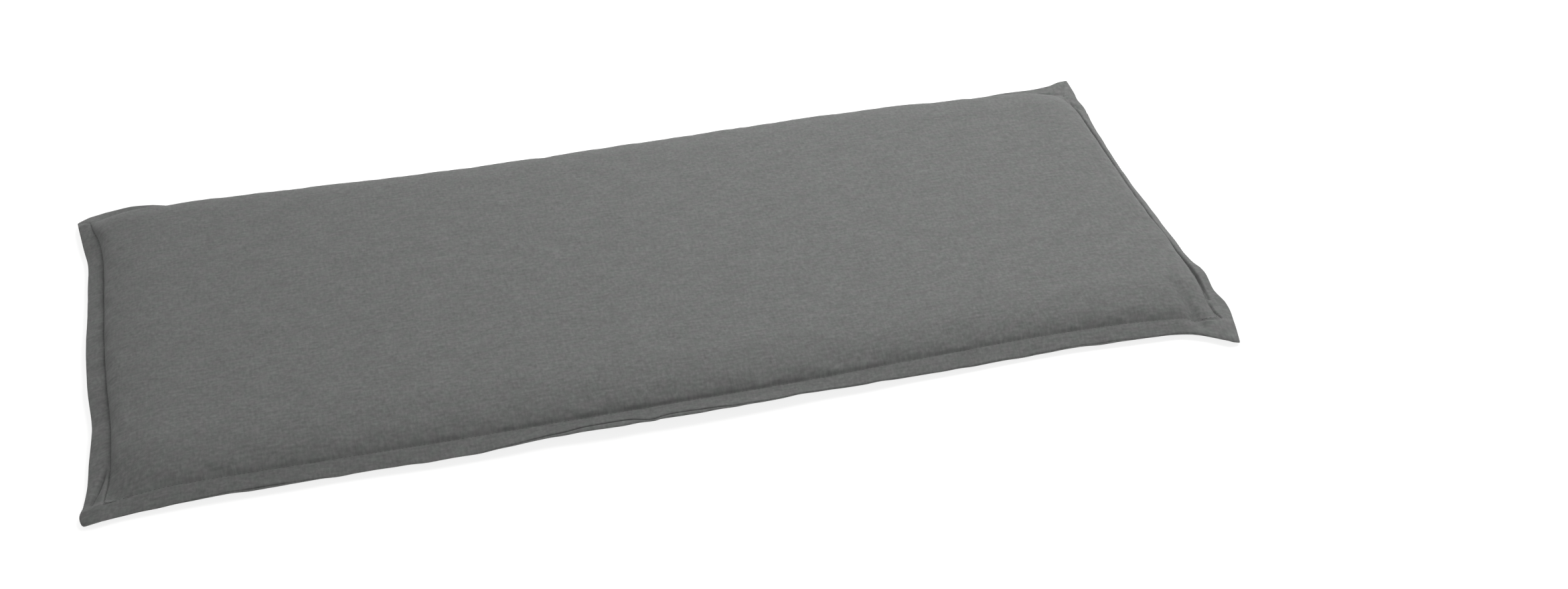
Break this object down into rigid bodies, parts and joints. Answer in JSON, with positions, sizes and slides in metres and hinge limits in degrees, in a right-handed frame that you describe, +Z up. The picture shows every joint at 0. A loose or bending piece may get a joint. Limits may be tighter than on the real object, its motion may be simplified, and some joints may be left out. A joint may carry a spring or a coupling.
{
  "type": "bench cushion",
  "caption": "Slim filled seat pad for a two-seat bench, with a flange of double cloth standing out all round its stitch row.",
  "frame": {"origin": "on the ground, under the middle of the cushion's footprint, ears included", "axes": "+X along the cushion's length, +Y from the front edge to the back edge, +Z up through its thickness"},
  "size_m": [1.006, 0.4598, 0.0353],
  "materials": {
    "melange_cloth": "matt grey melange woven polyester"
  },
  "bodies": {
    "root": {"cushion": "melange_cloth"}
  },
  "joints": []
}
